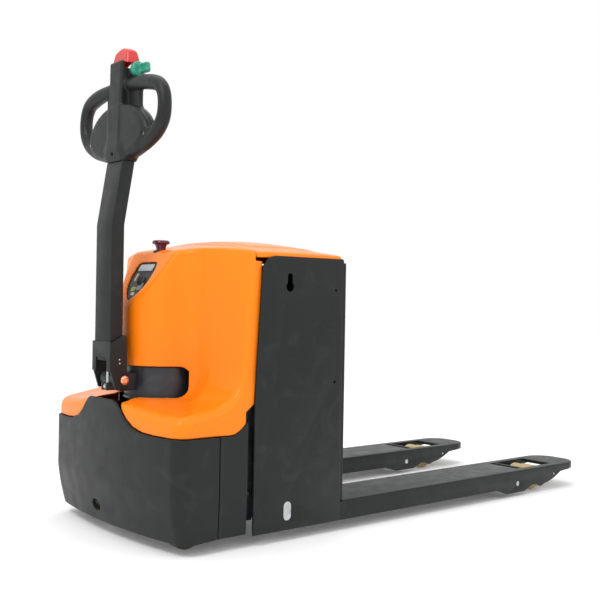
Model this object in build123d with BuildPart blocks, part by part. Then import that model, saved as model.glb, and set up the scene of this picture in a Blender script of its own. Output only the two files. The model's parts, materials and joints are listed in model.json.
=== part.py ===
from build123d import *
import os
from math import cos, radians, sin, tan

# Electric pallet truck. Origin on the floor at the centre of the footprint,
# +X towards the fork tips, +Y to the left of somebody facing the fork tips, +Z up. Millimetres.

os.makedirs("parts", exist_ok=True)

# ---- driving dimensions -------------------------------------------------------------------------
LENGTH = 1712            # skirt front to fork tips
FORK_LENGTH = 1150
FORK_SPAN = 685          # over both forks
FORK_WIDTH = 175
FORK_TOP = 85            # lowered height
FORK_UNDERSIDE = 30
BODY_TOP = 756           # top edge of the side panels
PANEL_LENGTH = 301
TILLER_TOP = 1318
LIFT = 110

FRONT_X = -LENGTH / 2
TIP_X = LENGTH / 2
HEEL_X = TIP_X - FORK_LENGTH
FORK_Y = (FORK_SPAN - FORK_WIDTH) / 2
SIDES = ((1, "left"), (-1, "right"))

# side panels and back plate
PANEL_T = 6
PANEL_FRONT_X = HEEL_X - PANEL_LENGTH
PANEL_Y = FORK_SPAN / 2
BACK_T = 9
BACK_TOP = 746
REBATE = 4               # how far the back plate sits down into the forks' tops

# steering axis, drive wheel and tiller pivot
STEER_X = HEEL_X - 370
DRIVE_R = 120
DRIVE_W = 75
NOSE_R = 120
STOP_X = HEEL_X - 383    # emergency stop button
PIVOT_X = HEEL_X - 521
PIVOT_Z = 419
ARM_W = 87
ARM_D = 37
ARM_FRONT_X = HEEL_X - 560
KNEE_Z = 834
NECK_Z = 1006
ARM_LEAN = 9.3

# covers
SKIRT_SIDE_Y = 338
SKIRT_T = 6
SKIRT_TOP = 296
PEAK_TOP = 370
COWL_T = 4
COWL_Y = 333
SHELF_TOP = 372
COWL_TOP = 766
COWL_REAR_X = HEEL_X - 298
SEAM_X = HEEL_X - 406

# load wheels and their rockers
WHEEL_R = 40
WHEEL_W = 80
WHEEL_X = HEEL_X + 940
ROCKER_X = HEEL_X + 799
ROCKER_Z = 42

# casters
CASTER_X = HEEL_X - 424
CASTER_Y = 240
CASTER_R = 45
CASTER_TRAIL = 24

# lift linkage
CRANK_X = HEEL_X - 188
CRANK_Z = 80
CRANK_ARM = 130
CRANK_LEAN = 25          # the long arm points this far up at rest and this far down when lifted
PUSH_ARM = 25
ROD_Z = 65

CLEAR = 0.05             # radial running clearance of pins and shafts


def save(name, part):
    """Label one finished piece and write it under its node name."""
    part.label = name
    export_step(part, f"parts/{name}.step")


def post(x, y, z0, z1, radius, mode=Mode.ADD):
    """An upright cylinder between two heights, in the open part."""
    with Locations((x, y, (z0 + z1) / 2)):
        Cylinder(radius, z1 - z0, mode=mode)


def axle(x, z, y0, y1, radius, mode=Mode.ADD):
    """A cylinder lying across the truck between two Y positions, in the open part."""
    with Locations(Location((x, (y0 + y1) / 2, z), (90, 0, 0))):
        Cylinder(radius, y1 - y0, mode=mode)


def sleeve(x, z, y0, y1, radius, bore):
    """An axle with a bore right through it."""
    axle(x, z, y0, y1, radius)
    axle(x, z, y0, y1, bore, mode=Mode.SUBTRACT)


def block(low, high, mode=Mode.ADD):
    """A plain block from its lowest to its highest corner, in the open part."""
    with Locations(Vector(*[(a + b) / 2 for a, b in zip(low, high)])):
        Box(*[b - a for a, b in zip(low, high)], mode=mode)


# ---- forks --------------------------------------------------------------------------------------
PLATE = 8
TIP_ROUND = 70
OPENING_X = (WHEEL_X - 80, WHEEL_X + 75)
OPENING_W = 118
SLIT_X = (WHEEL_X - 112, WHEEL_X - 90)
SKID_X = (HEEL_X + 687, HEEL_X + 744, HEEL_X + 835, HEEL_X + 878)
SKID_Z = 13
NOSE_UNDER = ((HEEL_X + 901, 29), (HEEL_X + 923, 20), (HEEL_X + 946, 27), (HEEL_X + 969, 31),
              (HEEL_X + 992, 38), (HEEL_X + 1015, 48), (HEEL_X + 1038, 59), (TIP_X + 1, 67))
ENTRY_X = HEEL_X + 1000
ENTRY_Z = 54
ENTRY_R = 17

for side, name in SIDES:
    y = side * FORK_Y
    with BuildPart() as fork:
        with BuildSketch(Plane.XY.offset(SKID_Z - 1)) as plan:
            with Locations(((HEEL_X + TIP_X) / 2, y)):
                Rectangle(FORK_LENGTH, FORK_WIDTH)
            fillet(plan.vertices().group_by(Axis.X)[-1], TIP_ROUND)
        extrude(amount=FORK_TOP - SKID_Z + 1)
        fillet(fork.faces().sort_by(Axis.Z)[-1].edges(), 3)
        # everything under the side plates' lower edge, with the skid bulge and the rising nose
        with BuildSketch(Plane.XZ.offset(-y)):
            with BuildLine():
                start = (HEEL_X - 1, FORK_UNDERSIDE)
                skid = [(x, z) for x, z in zip(SKID_X, (FORK_UNDERSIDE, SKID_Z, SKID_Z, FORK_UNDERSIDE))]
                end = [(TIP_X + 1, 0), (HEEL_X - 1, 0)]
                Polyline(start, *skid, *NOSE_UNDER, *end, close=True)
            make_face()
        extrude(amount=FORK_WIDTH, both=True, mode=Mode.SUBTRACT)
        # channel hollow from below, then the openings through the top plate
        with BuildSketch(Plane.XY):
            with Locations(((HEEL_X + TIP_X - 75) / 2, y)):
                Rectangle(FORK_LENGTH - 73, FORK_WIDTH - 2 * PLATE)
        extrude(amount=FORK_TOP - PLATE, mode=Mode.SUBTRACT)
        with BuildSketch(Plane.XY.offset(FORK_TOP + 1)):
            for x0, x1 in (OPENING_X, SLIT_X):
                with Locations(((x0 + x1) / 2, y)):
                    Rectangle(x1 - x0, OPENING_W)
        extrude(amount=-PLATE - 2, mode=Mode.SUBTRACT)
        # rebate under the back plate
        block((HEEL_X - 1, y - FORK_WIDTH, FORK_TOP - REBATE), (HEEL_X + BACK_T, y + FORK_WIDTH, FORK_TOP + 1),
              mode=Mode.SUBTRACT)
        # holes for the rocker pin and the entry roller pin
        for x, z, r in ((ROCKER_X, ROCKER_Z, 8), (ENTRY_X, ENTRY_Z, 4)):
            with BuildSketch(Plane.XZ.offset(-y)):
                with Locations((x, z)):
                    Circle(r)
            extrude(amount=FORK_WIDTH, both=True, mode=Mode.SUBTRACT)
    save(f"{name}_fork", fork.part)

    # rocker: two cheeks, the bush on the fork pin, the push bar and the wheel axle
    with BuildPart() as rocker:
        for cheek in (-1, 1):
            with BuildSketch(Plane.XZ.offset(-y - cheek * 52)):
                with BuildLine():
                    top = (ROCKER_X, ROCKER_Z + 32)
                    Polyline((ROCKER_X - 16, ROCKER_Z - 12), (ROCKER_X - 12, ROCKER_Z + 26), top,
                             (ROCKER_X + 14, ROCKER_Z + 26), (WHEEL_X + 10, WHEEL_R + 16),
                             (WHEEL_X + 18, WHEEL_R), (WHEEL_X + 10, WHEEL_R - 14),
                             (ROCKER_X + 6, ROCKER_Z - 18), close=True)
                make_face()
                with Locations((ROCKER_X, ROCKER_Z)):
                    Circle(8 + CLEAR, mode=Mode.SUBTRACT)
            extrude(amount=cheek * 8)
        sleeve(ROCKER_X, ROCKER_Z, y - 44, y + 44, 12, 8 + CLEAR)
        axle(ROCKER_X, ROCKER_Z + 24, y - 44, y + 44, 6)
        axle(WHEEL_X, WHEEL_R, y - 44, y + 44, 10)
    save(f"{name}_rocker", rocker.part)

    with BuildPart() as wheel:
        with BuildSketch(Plane.XZ.offset(-y)):
            with Locations((WHEEL_X, WHEEL_R)):
                Circle(WHEEL_R)
                Circle(10 + CLEAR, mode=Mode.SUBTRACT)
        extrude(amount=WHEEL_W / 2, both=True)
        fillet(wheel.edges().filter_by(GeomType.CIRCLE).group_by(SortBy.RADIUS)[-1], 4)
    save(f"{name}_load_wheel", wheel.part)

    with BuildPart() as roller:
        sleeve(ENTRY_X, ENTRY_Z, y - 50, y + 50, ENTRY_R, 4 + CLEAR)
        chamfer(roller.edges().filter_by(GeomType.CIRCLE).group_by(SortBy.RADIUS)[-1], 2)
    save(f"{name}_entry_roller", roller.part)

    # push rod: forked end at the crank, flat bar, pusher block at the rocker
    rod_end = ROCKER_X - 14
    with BuildPart() as rod:
        block((CRANK_X + 40, y - 6, ROD_Z - 8), (rod_end, y + 6, ROD_Z + 7))
        block((rod_end - 26, y - 18, ROD_Z - 7), (rod_end, y + 18, ROD_Z + 7))
        block((CRANK_X + 40, y - 14, CRANK_Z - 30), (CRANK_X + 70, y + 14, ROD_Z + 7))
        for cheek in (-1, 1):
            inner, outer = sorted((y + cheek * 8, y + cheek * 14))
            block((CRANK_X - 1.5, inner, CRANK_Z - 30), (CRANK_X + 40, outer, CRANK_Z - 18))
    save(f"{name}_push_rod", rod.part)

with BuildPart() as pins:
    for side, name in SIDES:
        inner, outer = side * FORK_Y - FORK_WIDTH / 2 + 1, side * FORK_Y + FORK_WIDTH / 2 - 1
        axle(ROCKER_X, ROCKER_Z, inner, outer, 8)
        axle(ENTRY_X, ENTRY_Z, inner, outer, 4)
save("fork_pins", pins.part)

# ---- lifting body: side panels, back plate, tray, battery ------------------------------------------
SLOPE_Z = 380
SLOPE_X = 19             # how far the panel's front edge leans back by the top corner
PANEL_CORNER = 45
KEYHOLE_X = HEEL_X - 191
KEYHOLE_Z = (676, 703)
HOLES_XZ = ((HEEL_X - 28, 669), (HEEL_X - 28, 416))

for side, name in SIDES:
    with BuildPart() as panel:
        with BuildSketch(Plane.XZ.offset(-side * PANEL_Y)) as face:
            with BuildLine():
                top_front = (PANEL_FRONT_X + SLOPE_X + 2, BODY_TOP)
                Polyline((HEEL_X, FORK_UNDERSIDE), (HEEL_X, BODY_TOP), top_front,
                         (PANEL_FRONT_X, SLOPE_Z), (PANEL_FRONT_X, FORK_UNDERSIDE), close=True)
            make_face()
            corners = face.vertices().sort_by(Axis.Y)
            fillet(corners[-2:].sort_by(Axis.X)[0], PANEL_CORNER)
            fillet(face.vertices().sort_by(Axis.Y)[-1:], 6)
            # keyhole for the lifting hook
            with Locations((KEYHOLE_X, KEYHOLE_Z[0])):
                Circle(13.5, mode=Mode.SUBTRACT)
            with Locations((KEYHOLE_X, KEYHOLE_Z[1])):
                Circle(9, mode=Mode.SUBTRACT)
            with Locations((KEYHOLE_X, (KEYHOLE_Z[0] + KEYHOLE_Z[1]) / 2)):
                Rectangle(18, KEYHOLE_Z[1] - KEYHOLE_Z[0], mode=Mode.SUBTRACT)
            with Locations(*HOLES_XZ):
                Circle(4, mode=Mode.SUBTRACT)
            with Locations((CRANK_X, CRANK_Z)):
                SlotOverall(52, 27, rotation=90, mode=Mode.SUBTRACT)
        extrude(amount=side * PANEL_T)
    save(f"{name}_side_panel", panel.part)

with BuildPart() as back:
    with BuildSketch(Plane.YZ.offset(HEEL_X)) as face:
        with Locations((0, (FORK_TOP + BACK_TOP) / 2)):
            Rectangle(FORK_SPAN, BACK_TOP - FORK_TOP)
        fillet(face.vertices().group_by(Axis.Y)[-1] + face.vertices().group_by(Axis.Y)[0], 5)
    extrude(amount=BACK_T)
    block((HEEL_X, 8 - PANEL_Y, FORK_TOP - REBATE), (HEEL_X + BACK_T - 0.5, PANEL_Y - 8, FORK_TOP + 1))
save("back_plate", back.part)

TRAY_FRONT_X = HEEL_X - 217
TRAY_Z = 112
TRAY_Y = PANEL_Y - PANEL_T
BRIDGE_Z = 650
with BuildPart() as tray:
    block((TRAY_FRONT_X, -TRAY_Y, TRAY_Z), (HEEL_X, TRAY_Y, TRAY_Z + 6))
    block((TRAY_FRONT_X, -TRAY_Y, TRAY_Z + 6), (TRAY_FRONT_X + 6, TRAY_Y, BRIDGE_Z))
    # bridge over the two lift rods
    block((PANEL_FRONT_X + 15, -300, BRIDGE_Z), (TRAY_FRONT_X + 6, 300, BRIDGE_Z + 12))
    block((TRAY_FRONT_X - 20, -TRAY_Y, BRIDGE_Z), (TRAY_FRONT_X + 6, TRAY_Y, BRIDGE_Z + 12))
    # inner ribs that carry the forks' inner plates under the tray
    for side, name in SIDES:
        inner = side * (FORK_Y - FORK_WIDTH / 2)
        block((CRANK_X - 24, min(inner, inner + side * PLATE), FORK_UNDERSIDE),
                        (HEEL_X, max(inner, inner + side * PLATE), TRAY_Z))
    with BuildSketch(Plane.XZ):
        with Locations((CRANK_X, CRANK_Z)):
            Circle(15 + CLEAR)
    extrude(amount=TRAY_Y, both=True, mode=Mode.SUBTRACT)
save("battery_tray", tray.part)

BATTERY_X = (TRAY_FRONT_X + 12, HEEL_X - 8)
BATTERY_Y = 315
BATTERY_TOP = 600
with BuildPart() as battery:
    block((BATTERY_X[0], -BATTERY_Y, TRAY_Z + 6), (BATTERY_X[1], BATTERY_Y, BATTERY_TOP))
    fillet(battery.edges().filter_by(Axis.Z), 10)
    chamfer(battery.faces().sort_by(Axis.Z)[-1].edges(), 4)
    for y in (-200, 200):
        with Locations(((BATTERY_X[0] + BATTERY_X[1]) / 2, y, BATTERY_TOP + 6)):
            Box(120, 30, 12)
    with Locations((BATTERY_X[0] + 45, 0, BATTERY_TOP + 18)):
        Box(50, 120, 36)
save("battery", battery.part)

# battery lid, crowned both ways, hinged over the back plate
LID_X = (PANEL_FRONT_X + 6, HEEL_X + 8)
LID_Y = 334
LID_RIM = 750
LID_HINGE = (HEEL_X + 0.5, BODY_TOP + 1.5)
HINGE_Y = (-200, 200)


def crowned(x0, x1, half, rim, edge, crown, along):
    """A block from the rim up to a top that is crowned across and follows an arc along the truck."""
    front, middle, rear = along
    with BuildPart() as solid:
        with BuildSketch(Plane.YZ.offset(x0)):
            with BuildLine():
                ThreePointArc((-half, edge), (0, crown), (half, edge))
                Polyline((half, edge), (half, rim), (-half, rim), (-half, edge))
            make_face()
        extrude(amount=x1 - x0)
        with BuildSketch(Plane.XZ):
            with BuildLine():
                ThreePointArc((x0, front), ((x0 + x1) / 2, middle), (x1, rear))
                Polyline((x1, rear), (x1, rim), (x0, rim), (x0, front))
            make_face()
        extrude(amount=half, both=True, mode=Mode.INTERSECT)
    return solid.part


lid_outer = crowned(*LID_X, LID_Y, LID_RIM, 768, 806, (794, 807, 788))
lid_inner = crowned(LID_X[0] + 4, LID_X[1] - 4, LID_Y - 4, LID_RIM - 1, 763, 802, (790, 803, 784))
with BuildPart() as lid:
    add(lid_outer)
    add(lid_inner, mode=Mode.SUBTRACT)
    # notches round the two hinges
    for y in HINGE_Y:
        block((HEEL_X - 6, y - 33, LID_RIM - 1), (HEEL_X + 9, y + 33, 764), mode=Mode.SUBTRACT)
save("battery_lid", lid.part)

with BuildPart() as lid_hinges:
    for y in HINGE_Y:
        axle(*LID_HINGE, y - 30, y + 30, 2.5)
        block((HEEL_X - 3, y - 30, 715), (HEEL_X, y + 30, LID_HINGE[1] - 0.5))
save("lid_hinges", lid_hinges.part)

with BuildPart() as blocks:
    for side, name in SIDES:
        with BuildSketch(Plane.XZ.offset(-side * (PANEL_Y - 1))):
            with Locations((CRANK_X, CRANK_Z)):
                SlotOverall(50, 25, rotation=90)
                Circle(10 + CLEAR, mode=Mode.SUBTRACT)
        extrude(amount=side * 10)
save("crank_bearings", blocks.part)

# crank: cross shaft, long arms to the chassis guides, short arms that push the rods
ARM_Y = 296
lean = radians(CRANK_LEAN)
long_end = (CRANK_X - CRANK_ARM * cos(lean), CRANK_Z + CRANK_ARM * sin(lean))
short_end = (CRANK_X - PUSH_ARM * sin(lean), CRANK_Z - PUSH_ARM * cos(lean))
with BuildPart() as crank:
    axle(CRANK_X, CRANK_Z, -PANEL_Y + 12, PANEL_Y - 12, 15)
    axle(CRANK_X, CRANK_Z, -PANEL_Y + 2, PANEL_Y - 2, 10)
    for side, name in SIDES:
        for end, y, width, pin in ((long_end, side * ARM_Y, 8, 8), (short_end, side * FORK_Y, 10, 7)):
            with BuildSketch(Plane.XZ.offset(-y)):
                middle = ((end[0] + CRANK_X) / 2, (end[1] + CRANK_Z) / 2)
                SlotCenterPoint(middle, end, 24 if y == side * ARM_Y else 16)
            extrude(amount=width / 2, both=True)
        axle(*long_end, min(side * 298, side * 318), max(side * 298, side * 318), 8)
        axle(*short_end, side * FORK_Y - 14, side * FORK_Y + 14, 7)
save("crank_shaft", crank.part)

# ---- chassis -----------------------------------------------------------------------------------------
WALL_X = HEEL_X - 231
WEB_Y = 150
DECK_Z = 270
PLATE_Z = 118
GUIDE_Z = long_end[1]
CYL_X = HEEL_X - 266
CYL_Y = 268
CYL_FOOT = 178
PUMP = (HEEL_X - 283, -196)

with BuildPart() as chassis:
    block((HEEL_X - 506, -WEB_Y - 8, DECK_Z), (WALL_X + 8, WEB_Y + 8, DECK_Z + 15))
    block((WALL_X, -PANEL_Y + 20, 60), (WALL_X + 8, PANEL_Y - 20, 640))
    for side, name in SIDES:
        inner, outer = sorted((side * WEB_Y, side * (WEB_Y + 8)))
        block((HEEL_X - 506, inner, PLATE_Z), (WALL_X, outer, DECK_Z))
        inner, outer = sorted((side * WEB_Y, side * 290))
        block((HEEL_X - 490, inner, PLATE_Z), (HEEL_X - 352, outer, PLATE_Z + 10))
        # guide plate with the level slot for the crank pin, carried by the rear wall
        inner, outer = sorted((side * 303, side * 313))
        block((HEEL_X - 346, inner, GUIDE_Z - 26), (WALL_X, outer, GUIDE_Z + 26))
        # foot of the lift cylinder and shelf for the hydraulics or the controller
        inner, outer = sorted((side * 244, side * 290))
        block((CYL_X - 26, inner, CYL_FOOT), (WALL_X, outer, CYL_FOOT + 12))
        inner, outer = sorted((side * WEB_Y, side * 238))
        block((HEEL_X - 336, inner, 385), (WALL_X, outer, 393))
    # front outrigger that carries the skirt and the towing eye
    block((HEEL_X - 551, -44, DECK_Z), (HEEL_X - 506, 44, DECK_Z + 15))
    block((HEEL_X - 551, -44, 150), (HEEL_X - 543, 44, DECK_Z))
    # clearance for the steered unit, the crank arms and their pins
    post(STEER_X, 0, DECK_Z - 1, DECK_Z + 16, 106, mode=Mode.SUBTRACT)
    for side, name in SIDES:
        post(CASTER_X, side * CASTER_Y, PLATE_Z - 1, PLATE_Z + 11, 8 + CLEAR, mode=Mode.SUBTRACT)
        inner, outer = sorted((side * 287, side * 301.5))
        block((WALL_X - 1, inner, 55), (WALL_X + 9, outer, 215), mode=Mode.SUBTRACT)
        with BuildSketch(Plane.XZ.offset(-side * 300)):
            with Locations((long_end[0] - 5, GUIDE_Z)):
                SlotOverall(38, 19)
        extrude(amount=-side * 20, mode=Mode.SUBTRACT)
save("chassis_frame", chassis.part)

with BuildPart() as barrels:
    for side, name in SIDES:
        y = side * CYL_Y
        post(CYL_X, y, CYL_FOOT + 12, 500, 22)
        post(CYL_X, y, CYL_FOOT + 12, CYL_FOOT + 30, 26)
        post(CYL_X, y, 480, 500, 25)
        post(CYL_X, y, CYL_FOOT + 40, 501, 13, mode=Mode.SUBTRACT)
save("lift_cylinders", barrels.part)

with BuildPart() as rods:
    for side, name in SIDES:
        post(CYL_X, side * CYL_Y, CYL_FOOT + 50, BRIDGE_Z, 12.5)
        post(CYL_X, side * CYL_Y, BRIDGE_Z - 20, BRIDGE_Z, 18)
save("lift_rods", rods.part)

with BuildPart() as pump:
    post(*PUMP, 437, 590, 44)
    post(*PUMP, 590, 602, 36)
    with BuildSketch(Plane.XY.offset(393)):
        with Locations(PUMP):
            RectangleRounded(96, 80, 6)
    extrude(amount=44)
save("hydraulic_pump", pump.part)

TANK_LOW = (HEEL_X - 490, -310, 150)
TANK_HIGH = (HEEL_X - 356, -170, 262)
with BuildPart() as tank:
    block(TANK_LOW, TANK_HIGH)
    fillet(tank.edges().filter_by(Axis.Z), 14)
    post(HEEL_X - 460, -290, 262, 276, 14)
    post(HEEL_X - 460, -200, 128, 150, 12)
    post(HEEL_X - 390, -240, 128, 150, 12)
save("hydraulic_tank", tank.part)

with BuildPart() as controller:
    block((HEEL_X - 480, 170, 140), (HEEL_X - 360, 300, 188))
    for i in range(9):
        x = HEEL_X - 474 + i * 13
        block((x, 176, 188), (x + 5, 294, 212))
    for x in (HEEL_X - 472, HEEL_X - 368):
        for y in (178, 292):
            post(x, y, 128, 140, 6)
save("motor_controller", controller.part)

with BuildPart() as race:
    post(STEER_X, 0, DECK_Z + 15, DECK_Z + 33, 126)
    post(STEER_X, 0, DECK_Z + 14, DECK_Z + 34, 108, mode=Mode.SUBTRACT)
save("slewing_bearing", race.part)

# ---- covers -------------------------------------------------------------------------------------------
BOW = 26                 # how far the skirt's front bows out over its width
BOW_Y = 300
FOOT_Z = 30
TUCK_Z = 150


def plan_outline(height, front, tuck, rear, corner):
    """The cover's outline seen from above: bowed front, rounded corners, straight sides."""
    with BuildSketch(Plane.XY.offset(height)) as plan:
        with BuildLine():
            edge_y = SKIRT_SIDE_Y - 5 - tuck
            side_y = SKIRT_SIDE_Y - tuck
            bow = BOW * (edge_y / BOW_Y) ** 2
            ThreePointArc((front + bow, -edge_y), (front, 0), (front + bow, edge_y))
            Polyline((front + bow, edge_y), (rear, side_y), (rear, -side_y), (front + bow, -edge_y))
        make_face()
        fillet(plan.vertices().group_by(Axis.X)[0], corner)
    return plan.sketch


def skirt_solid(inset):
    """The skirt filled in: upright from the tuck height up, drawn in below it."""
    with BuildPart() as solid:
        add(plan_outline(TUCK_Z, FRONT_X + inset, inset, COWL_REAR_X - 18, 46 - inset))
        extrude(amount=PEAK_TOP - TUCK_Z)
        add(plan_outline(TUCK_Z, FRONT_X + inset, inset, COWL_REAR_X - 18, 46 - inset))
        add(plan_outline(FOOT_Z - inset, FRONT_X + inset + 24, inset + 5, COWL_REAR_X - 18, 42 - inset))
        loft(ruled=True)
    return solid.part


outer = skirt_solid(0)
inner = skirt_solid(SKIRT_T)
# the skirt's top edge: level wings, a broad peak in the middle
with BuildPart() as above:
    with BuildSketch(Plane.YZ.offset(FRONT_X - 10)):
        with BuildLine():
            rise = [(0, PEAK_TOP), (64, PEAK_TOP), (80, 364), (97, 350), (121, 329), (150, 309), (187, 298),
                    (230, SKIRT_TOP), (360, SKIRT_TOP)]
            right = [(-y, z) for y, z in reversed(rise)]
            Polyline(*right, *rise[1:], (360, 900), (-360, 900), close=True)
        make_face()
    extrude(amount=400)
RELEASE_YZ = (40, 75)     # access hole of the manual release, low on the skirt
with BuildPart() as skirt:
    add(outer)
    add(inner, mode=Mode.SUBTRACT)
    add(above.part, mode=Mode.SUBTRACT)
    split(bisect_by=Plane.YZ.offset(SEAM_X), keep=Keep.BOTTOM)
    with BuildSketch(Plane.YZ.offset(FRONT_X - 10)):
        with Locations(RELEASE_YZ):
            SlotOverall(40, 28)
    extrude(amount=60, mode=Mode.SUBTRACT)
save("front_skirt", skirt.part)

with BuildPart() as flanks:
    add(outer)
    add(inner, mode=Mode.SUBTRACT)
    add(above.part, mode=Mode.SUBTRACT)
    split(bisect_by=Plane.YZ.offset(SEAM_X + 1), keep=Keep.TOP)
save("skirt_flanks", flanks.part)

# front cowl: low shelf all round, a rounded nose over the steered unit, set-back wings beside it
WING_X = HEEL_X - 325
WINDOW = (373, 455)
WINDOW_HALF = 118
FASCIA_LOW = (HEEL_X - 490, 627)
FASCIA_HIGH = (HEEL_X - 415, 750)
rise_x, rise_z = FASCIA_HIGH[0] - FASCIA_LOW[0], FASCIA_HIGH[1] - FASCIA_LOW[1]
fascia_middle = ((FASCIA_LOW[0] + FASCIA_HIGH[0]) / 2, 0, (FASCIA_LOW[1] + FASCIA_HIGH[1]) / 2)
FASCIA = Plane(origin=fascia_middle, x_dir=(0, -1, 0), z_dir=(-rise_z, 0, rise_x))


def fascia_outline(grow):
    """The leaf-shaped opening in the sloping face of the nose."""
    with BuildSketch() as leaf:
        with BuildLine():
            ThreePointArc((0, -66 - grow), (50 + grow, -4), (46 + grow, 60 + grow))
            Line((46 + grow, 60 + grow), (-46 - grow, 60 + grow))
            ThreePointArc((-46 - grow, 60 + grow), (-50 - grow, -4), (0, -66 - grow))
        make_face()
        fillet(leaf.vertices().group_by(Axis.Y)[-1], 8)
    return leaf.sketch


def cowl_solid(inset):
    """The cowl filled in, drawn in by the inset on every side."""
    crown = crowned(STEER_X - NOSE_R, COWL_REAR_X, COWL_Y, SHELF_TOP - 30, 766 - inset, 792 - inset,
                    (752 - inset, 764 - inset, 790 - inset))
    with BuildPart() as solid:
        with BuildSketch(Plane.XY.offset(SHELF_TOP - 20)) as plan:
            with BuildLine():
                nose = NOSE_R - inset
                side_y = COWL_Y - inset
                wing = WING_X + inset
                ThreePointArc((STEER_X, -nose), (STEER_X - nose, 0), (STEER_X, nose))
                Polyline((STEER_X, nose), (wing, side_y), (COWL_REAR_X, side_y),
                         (COWL_REAR_X, -side_y), (wing, -side_y), (STEER_X, -nose))
            make_face()
            fillet(plan.vertices().filter_by_position(Axis.X, wing - 1, wing + 1), 12)
        extrude(amount=800 - SHELF_TOP + 20)
        add(crown, mode=Mode.INTERSECT)
        # slice off the nose in front of the fascia plane
        with BuildSketch(FASCIA.offset(-inset)):
            Rectangle(2 * NOSE_R + 20, 240)
        extrude(amount=200, mode=Mode.SUBTRACT)
        # shelf, resting on the skirt's top edge
        add(plan_outline(SKIRT_TOP - 10, FRONT_X + 3 + inset, 4 + inset, COWL_REAR_X - 11, 43 - inset))
        extrude(amount=SHELF_TOP - inset - SKIRT_TOP + 10)
    return solid.part


cowl_outer = cowl_solid(0)
cowl_inner = cowl_solid(COWL_T)
with BuildPart() as cowl:
    add(cowl_outer)
    add(cowl_inner, mode=Mode.SUBTRACT)
    with Locations((0, 0, 1.5)):
        add(above.part, mode=Mode.INTERSECT)
    # steering window round the nose, notch under the tiller foot, fascia opening, switch hole
    with BuildSketch(Plane.YZ.offset(STEER_X - 8)):
        with Locations((0, (WINDOW[0] + WINDOW[1]) / 2)):
            RectangleRounded(2 * WINDOW_HALF, WINDOW[1] - WINDOW[0], 14)
    extrude(amount=-200, mode=Mode.SUBTRACT)
    notch_low = (FRONT_X - 5, -44, SHELF_TOP - 60)
    block(notch_low, (STEER_X - NOSE_R + 6, 44, SHELF_TOP + 1), mode=Mode.SUBTRACT)
    with BuildSketch(FASCIA.offset(5)):
        add(fascia_outline(0))
    extrude(amount=-12, mode=Mode.SUBTRACT)
    post(STOP_X, 0, 700, 800, 11, mode=Mode.SUBTRACT)
    # side lips that run back inside the side panels' leaning front edges
    for side, name in SIDES:
        inner, outer = sorted((side * (COWL_Y - COWL_T), side * COWL_Y))
        block((COWL_REAR_X - 6, inner, SHELF_TOP), (COWL_REAR_X + 22, outer, LID_RIM - 8))
save("front_cowl", cowl.part)

KEY_UV = (8, 0)
with BuildPart() as bezel:
    with BuildSketch(FASCIA.offset(-5)):
        add(fascia_outline(6))
    extrude(amount=-5)
    with BuildSketch(FASCIA.offset(-4)):
        with Locations(KEY_UV):
            Circle(9 + CLEAR)
    extrude(amount=-8, mode=Mode.SUBTRACT)
save("control_fascia", bezel.part)

with BuildPart() as gauge:
    with BuildSketch(FASCIA.offset(-5)):
        with Locations((0, 42)):
            RectangleRounded(72, 20, 3)
    extrude(amount=3)
save("charge_gauge", gauge.part)

with BuildPart() as key:
    with BuildSketch(FASCIA.offset(-14)):
        with Locations(KEY_UV):
            Circle(9)
    extrude(amount=16)
    with BuildSketch(FASCIA.offset(2)):
        with Locations(KEY_UV):
            RectangleRounded(5, 24, 2)
    extrude(amount=12)
save("key_switch", key.part)

with BuildPart() as stop:
    with BuildSketch(Plane.XZ):
        with BuildLine():
            Polyline((0, 742), (8, 742), (8, 776), (13, 776), (18, 790), (24, 791), (25, 797), (20, 801),
                     (0, 801), close=True)
        make_face()
    revolve(axis=Axis.Z)
save("emergency_stop", Pos(STOP_X, 0, 0) * stop.part)

# ---- steered unit: turntable, gearbox, motor, brake, tiller yoke, drive wheel ---------------------------
with BuildPart() as turntable:
    post(STEER_X, 0, DECK_Z - 8, DECK_Z + 15, 104)
    post(STEER_X, 0, DECK_Z + 15, DECK_Z + 33, 107.5)
    post(STEER_X, 0, DECK_Z - 9, DECK_Z + 34, 60, mode=Mode.SUBTRACT)
save("turntable", turntable.part)

with BuildPart() as gearbox:
    with BuildSketch(Plane.XZ.offset(-44)):
        with BuildLine():
            Polyline((STEER_X - 58, 262), (STEER_X + 58, 262), (STEER_X + 50, 120), (STEER_X - 50, 120), close=True)
        make_face()
        with Locations((STEER_X, DRIVE_R)):
            Circle(50)
    extrude(amount=-48)
    fillet(gearbox.faces().sort_by(Axis.Y)[-1].edges(), 6)
    post(STEER_X, 0, 246, 262, 96)
    post(STEER_X, 0, 262, 290, 60)
    axle(STEER_X, DRIVE_R, -DRIVE_W / 2 - 2, 44, 20)
save("gearbox", gearbox.part)

with BuildPart() as motor:
    post(STEER_X, 0, DECK_Z + 33, 505, 72)
save("drive_motor", motor.part)

with BuildPart() as brake:
    post(STEER_X, 0, 505, 522, 60)
    post(STEER_X, 0, 522, 548, 50)
save("parking_brake", brake.part)

DRUM_R = 100
with BuildPart() as drum:
    post(STEER_X, 0, DECK_Z + 33, 460, DRUM_R)
    post(STEER_X, 0, DECK_Z + 32, 455, DRUM_R - 8, mode=Mode.SUBTRACT)
    post(STEER_X, 0, 454, 461, 73, mode=Mode.SUBTRACT)
save("steering_drum", drum.part)

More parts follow.
